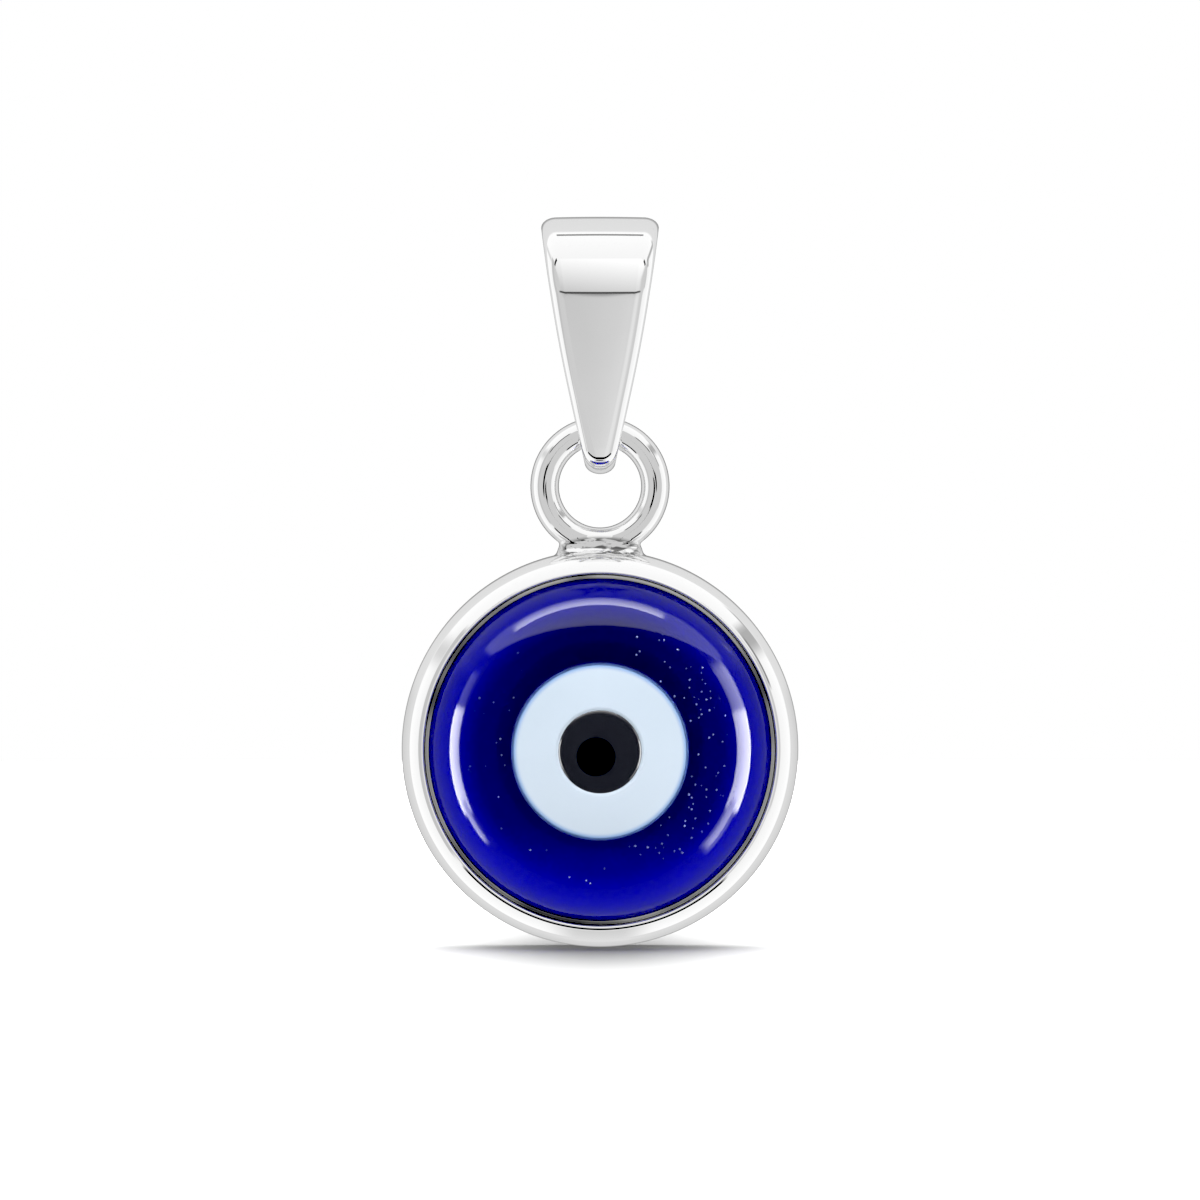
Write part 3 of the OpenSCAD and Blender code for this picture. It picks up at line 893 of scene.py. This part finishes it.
def hang_panels(glow, off, clock, panels):
    """Lays panels over a glow, one after the other."""
    for _, (near, far), (first, last), feather, inner, outer in panels:
        middle = (first + last) / 2
        round_clock = (clock - middle + 180) % 360 - 180 + middle
        sides = 1 if last - first >= 360 else soft_span(round_clock, first, last, 1.5 * feather)
        value = inner + (outer - inner) * np.clip((off - near) / (far - near), 0, 1)
        glow = glow + (value - glow) * soft_span(off, near, far, feather) * sides
    return glow


def tent_glow(off, clock):
    """The cloth's glow: the grey front with its spill, its table and the table's edge, then the panels."""
    sideways = np.degrees(np.arcsin(np.sin(np.radians(off)) * np.sin(np.radians(clock))))
    height = np.degrees(np.arcsin(np.sin(np.radians(off)) * np.cos(np.radians(clock))))
    rise = np.clip((height - SPILL_HEIGHTS[0]) / (SPILL_HEIGHTS[1] - SPILL_HEIGHTS[0]), 0, 1)
    on_table = np.clip((TABLE_TOP[1] - height) / (TABLE_TOP[1] - TABLE_TOP[0]), 0, 1)
    spill = SPILL_GLOWS[0] + (SPILL_GLOWS[1] - SPILL_GLOWS[0]) * rise + TABLE_TOP_GLOW * on_table
    spill = spill + SIDEWAYS_RISE * np.clip(sideways, -SIDEWAYS_RISE_ENDS, SIDEWAYS_RISE_ENDS)
    wide = SPILL_WIDE + SPILL_WIDENS * np.clip(height / SPILL_HEIGHTS[1], 0, 1)
    front = FRONT_GLOW + (spill - FRONT_GLOW) * soft_span(sideways, -wide, wide, SPILL_FEATHER)
    upright, level = TABLE_EDGE_FEATHERS
    edge = soft_span(sideways, -TABLE_EDGE_WIDE, TABLE_EDGE_WIDE, level)
    front += (TABLE_EDGE_GLOW - front) * (soft_span(height, *TABLE_EDGE, upright) * edge)
    glow = np.full(off.shape, TENT_BACK_GLOW)
    glow = glow + (front - glow) * soft_span(off, -1, FRONT_OFF, 2)
    return hang_panels(glow, off, clock, TENT_PANELS)


def ring_glow(off, clock):
    """The glow round the ring: an even grey front, the tent's panels and the ring's own."""
    front = FRONT_GLOW - TENT_BACK_GLOW
    glow = TENT_BACK_GLOW + front * soft_span(off, -1, FRONT_OFF, 1.5)
    return hang_panels(hang_panels(glow, off, clock, TENT_PANELS), off, clock, RING_PANELS)


def glass_glow(off, clock):
    """The glow of the lamps round the glass, with the bowed sheet over its top."""
    glow = hang_panels(np.full(off.shape, GLASS_BACK_GLOW), off, clock, GLASS_PANELS)
    bowed_off = off - SHEET_BOW * np.minimum(np.abs(clock) / SHEET_REACH, SHEET_BOW_ENDS) ** 2
    glow = hang_panels(glow, bowed_off, clock, SHEET_PANELS)
    return hang_panels(glow, off, clock, SHEET_EDGE_PANELS)


def glowing_sphere(name, radius, middle_z, glow_of, cloth):
    """A sphere round the pendant with a glow at each of its points, which lie closer where it is busy."""
    off = np.radians(np.concatenate([np.linspace(*part)[1:] for part in OFF_STEPS]))[:-1, None]
    off_steps, clock_steps = len(off) + 1, CLOCK_STEPS
    clock = np.radians(np.arange(clock_steps) * 360 / clock_steps)[None, :]
    facing = np.stack(np.broadcast_arrays(
        np.sin(off) * np.sin(clock), -np.cos(off), np.sin(off) * np.cos(clock)), -1).reshape(-1, 3)
    facing = np.vstack([facing, [(0, -1, 0), (0, 1, 0)]])
    i, k = np.meshgrid(np.arange(off_steps - 2), np.arange(clock_steps), indexing="ij")
    beside = (k + 1) % clock_steps
    quads = np.stack([i * clock_steps + k, i * clock_steps + beside,
                      (i + 1) * clock_steps + beside, (i + 1) * clock_steps + k], -1).reshape(-1, 4)
    last = (off_steps - 2) * clock_steps
    neighbours = list(zip(range(clock_steps), beside[0].tolist()))
    ends = [[len(facing) - 2, b, a] for a, b in neighbours]
    ends += [[len(facing) - 1, last + a, last + b] for a, b in neighbours]
    sphere = mesh_piece(name, facing * radius + np.array([0, 0, middle_z]), quads.tolist() + ends, cloth)
    glow = glow_of(np.degrees(np.arccos(-facing[:, 1])),
                   np.degrees(np.arctan2(facing[:, 0], facing[:, 2])))
    sphere.data.attributes.new("glow", "FLOAT", "POINT").data.foreach_set("value", glow)
    sphere.visible_camera = False
    return sphere


def link_light(source, name, pieces, state):
    """Lets a light fall only on some pieces, or on all but them."""
    group = bpy.data.collections.new(name)
    for piece in pieces:
        group.objects.link(piece)
    for member in group.collection_objects:
        member.light_linking.link_state = state
    source.light_linking.receiver_collection = group


def make_lens(cloth):
    """The dark front of the lens, which the pupil mirrors. It is near and small: the silver misses it."""
    front, wide, middle_x, middle_z = -5.5, 0.77, -0.16, EYE_Z - 0.29
    turn = np.radians(np.arange(0, 360, 5))
    points = np.column_stack([middle_x + wide * np.sin(turn), np.full(len(turn), front),
                              middle_z + wide * np.cos(turn)])
    lens = mesh_piece("lens front", points, [list(range(len(turn)))], cloth)
    lens.data.attributes.new("glow", "FLOAT", "POINT").data.foreach_set("value", np.zeros(len(turn)))
    lens.visible_camera = False
    lens.visible_diffuse = False
    lens.visible_transmission = False
    lens.visible_shadow = False


def make_key():
    """A wide soft light over and a little behind the pendant, for its shadow. It isn't mirrored."""
    lean = math.radians(14)
    away, across, glow = 300.0, 460.0, 3.0
    lamp = bpy.data.lights.new("key", "AREA")
    lamp.shape = "DISK"
    lamp.size = across * MM
    lamp.energy = glow * math.pi * math.pi / 4 * (across * MM) ** 2
    key = bpy.data.objects.new("key", lamp)
    key.location = (0, away * math.sin(lean) * MM, (FLOOR_Z + away * math.cos(lean)) * MM)
    key.rotation_euler = (-lean, 0, 0)
    key.visible_camera = False
    key.visible_glossy = False
    key.visible_transmission = False
    bpy.context.scene.collection.objects.link(key)


def make_world():
    """White wherever the camera looks past the table."""
    world = bpy.data.worlds.new("white backdrop")
    bpy.context.scene.world = world
    world.use_nodes = True
    tree = world.node_tree
    tree.nodes.clear()
    white = add(tree, "ShaderNodeBackground", {"Color": colour("#FFFFFF"), "Strength": 1.0})
    add(tree, "ShaderNodeOutputWorld", {"Surface": white.outputs[0]})


def make_camera():
    """The camera, a little above the pendant and looking slightly down."""
    lens = bpy.data.cameras.new("camera")
    lens.sensor_width = 36
    lens.lens = lens.sensor_width * CAMERA_AWAY / FRAME_WIDE
    lens.clip_start = 0.01
    lens.clip_end = 5
    camera = bpy.data.objects.new("camera", lens)
    tilt = math.radians(VIEW_DOWN)
    camera.location = (0, -CAMERA_AWAY * math.cos(tilt) * MM,
                       (FRAME_MIDDLE_Z + CAMERA_AWAY * math.sin(tilt)) * MM)
    camera.rotation_euler = (math.radians(90) - tilt, 0, 0)
    bpy.context.scene.collection.objects.link(camera)
    bpy.context.scene.camera = camera


silver = polished_silver()
turning = turning_tree()
make_bail(silver)
ring = make_ring(soldered_silver())
make_bezel(turning, silver, satin_cup_floor_painted_shade(), bead_silver_painted_shade())
dome = make_glass(turning, cobalt_glass())
disc = make_disc(turning, opal_glass())
pupil = make_pupil(turning, black_glass())
eye = [dome, disc, pupil] + make_seeds(seed_tree(), seed_glass())
make_floor()
cloth = lit_cloth("lit_tent_cloth", False)
tent = glowing_sphere("light tent", TENT_R, FRAME_MIDDLE_Z, tent_glow, cloth)
bare_lamps = lit_cloth("bare_lamps", True)
lamps = glowing_sphere("lamps for the glass", GLASS_LAMPS_R, EYE_Z, glass_glow, bare_lamps)
ring_tent = glowing_sphere("light tent round the ring", RING_TENT_R, RING_Z, ring_glow, bare_lamps)
link_light(lamps, "lit by the lamps", eye, "INCLUDE")
link_light(ring_tent, "lit by the ring's tent", [ring], "INCLUDE")
link_light(tent, "not lit by the tent", eye + [ring], "EXCLUDE")
make_lens(cloth)
make_key()
make_world()
make_camera()
bounces = bpy.context.scene.cycles
bounces.max_bounces = 12
bounces.glossy_bounces = 8
bounces.transmission_bounces = 8
bounces.diffuse_bounces = 2
bounces.transparent_max_bounces = 4
view = bpy.context.scene.view_settings
view.view_transform = "Standard"
view.use_curve_mapping = True
view.curve_mapping.black_level = (BLACK_POINT, BLACK_POINT, BLACK_POINT)
view.curve_mapping.update()
